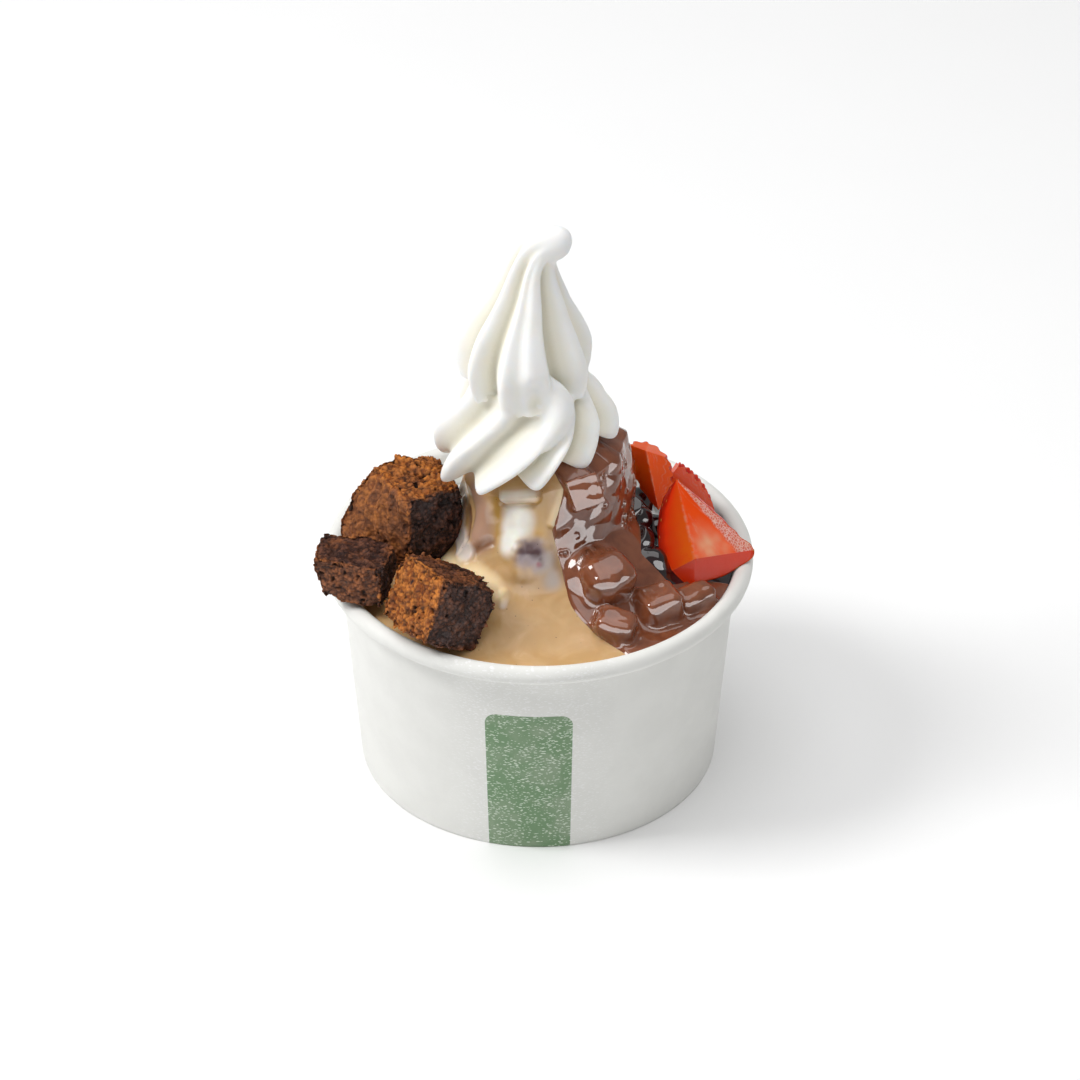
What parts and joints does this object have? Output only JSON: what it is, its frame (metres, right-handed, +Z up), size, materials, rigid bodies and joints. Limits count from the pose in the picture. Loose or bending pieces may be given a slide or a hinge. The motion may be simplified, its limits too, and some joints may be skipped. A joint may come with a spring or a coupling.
{
  "type": "frozen yogurt cup",
  "caption": "Paper cup filled with frozen yogurt in a tiered piped swirl, with caramel and chocolate sauce, berry compote, brownie cubes, coated chunks and strawberry wedges",
  "frame": {"origin": "on the cup's axis, in the plane of the ring it stands on", "axes": "+Z up, -Y towards the side with the printed green field, +X to the right of it, where the strawberries are"},
  "size_m": [0.1166, 0.115, 0.1611],
  "materials": {
    "cup_paper": "smooth white coated board with a muted green printed field and fine pale flecks",
    "yogurt": "soft satin frozen yogurt, slightly translucent",
    "caramel": "smooth glossy nut caramel with fine dark specks",
    "chocolate": "wet glossy milk chocolate sauce",
    "coated_chunk": "chocolate coated chunk, glossy",
    "compote": "dark wet berry compote",
    "fruit": "dull purple fruit piece filmed with sauce",
    "brownie": "rough dark crumb with orange-brown cut faces",
    "strawberry": "moist red flesh with a paler core and skin with seeds"
  },
  "bodies": {
    "root": {"paper_cup": "cup_paper", "frozen_yogurt": "yogurt", "caramel_sauce": "caramel", "chocolate_sauce": "chocolate", "berry_compote": "compote", "fruit_piece": "fruit", "brownie_1": "brownie", "brownie_2": "brownie", "brownie_3": "brownie", "coated_chunk_1": "coated_chunk", "coated_chunk_2": "coated_chunk", "coated_chunk_3": "coated_chunk", "coated_chunk_4": "coated_chunk", "coated_chunk_5": "coated_chunk", "strawberry_1": "strawberry", "strawberry_2": "strawberry", "strawberry_3": "strawberry"}
  },
  "joints": []
}
